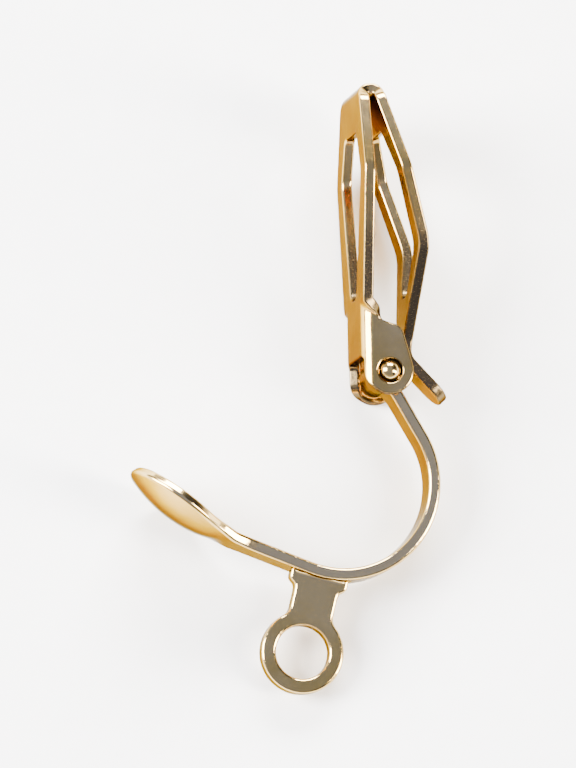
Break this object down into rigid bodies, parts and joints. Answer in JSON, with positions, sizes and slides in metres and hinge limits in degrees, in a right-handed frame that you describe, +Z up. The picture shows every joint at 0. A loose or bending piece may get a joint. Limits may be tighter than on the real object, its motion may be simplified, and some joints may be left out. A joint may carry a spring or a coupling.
{
  "type": "clip-on earring converter",
  "caption": "Bent metal hook with a round dished pad and a hanging loop, hinged to a folded sheet-metal paddle that clips an ear lobe.",
  "frame": {"origin": "on the surface the clip lies on, under the middle of its outer box", "axes": "+Z up from the surface; +Y roughly along the open paddle, from the hinge to its folded end; +X to the side the tail turns to"},
  "size_m": [0.012, 0.0226, 0.0061],
  "materials": {
    "gold_hook": "polished gold plating",
    "gold_paddle": "polished gold plating",
    "gold_pin": "polished gold plating"
  },
  "bodies": {
    "hook": {"ear_hook": "gold_hook", "hinge_pin": "gold_pin"},
    "paddle": {"clip_paddle": "gold_paddle"}
  },
  "joints": [
    {"name": "paddle_hinge", "type": "hinge", "parent": "hook", "child": "paddle", "pos_m": [0.00362, 0.00041, 0.00198], "axis": [0.0928, -0.1469, 0.9848], "range_deg": [-22, 101]}
  ]
}
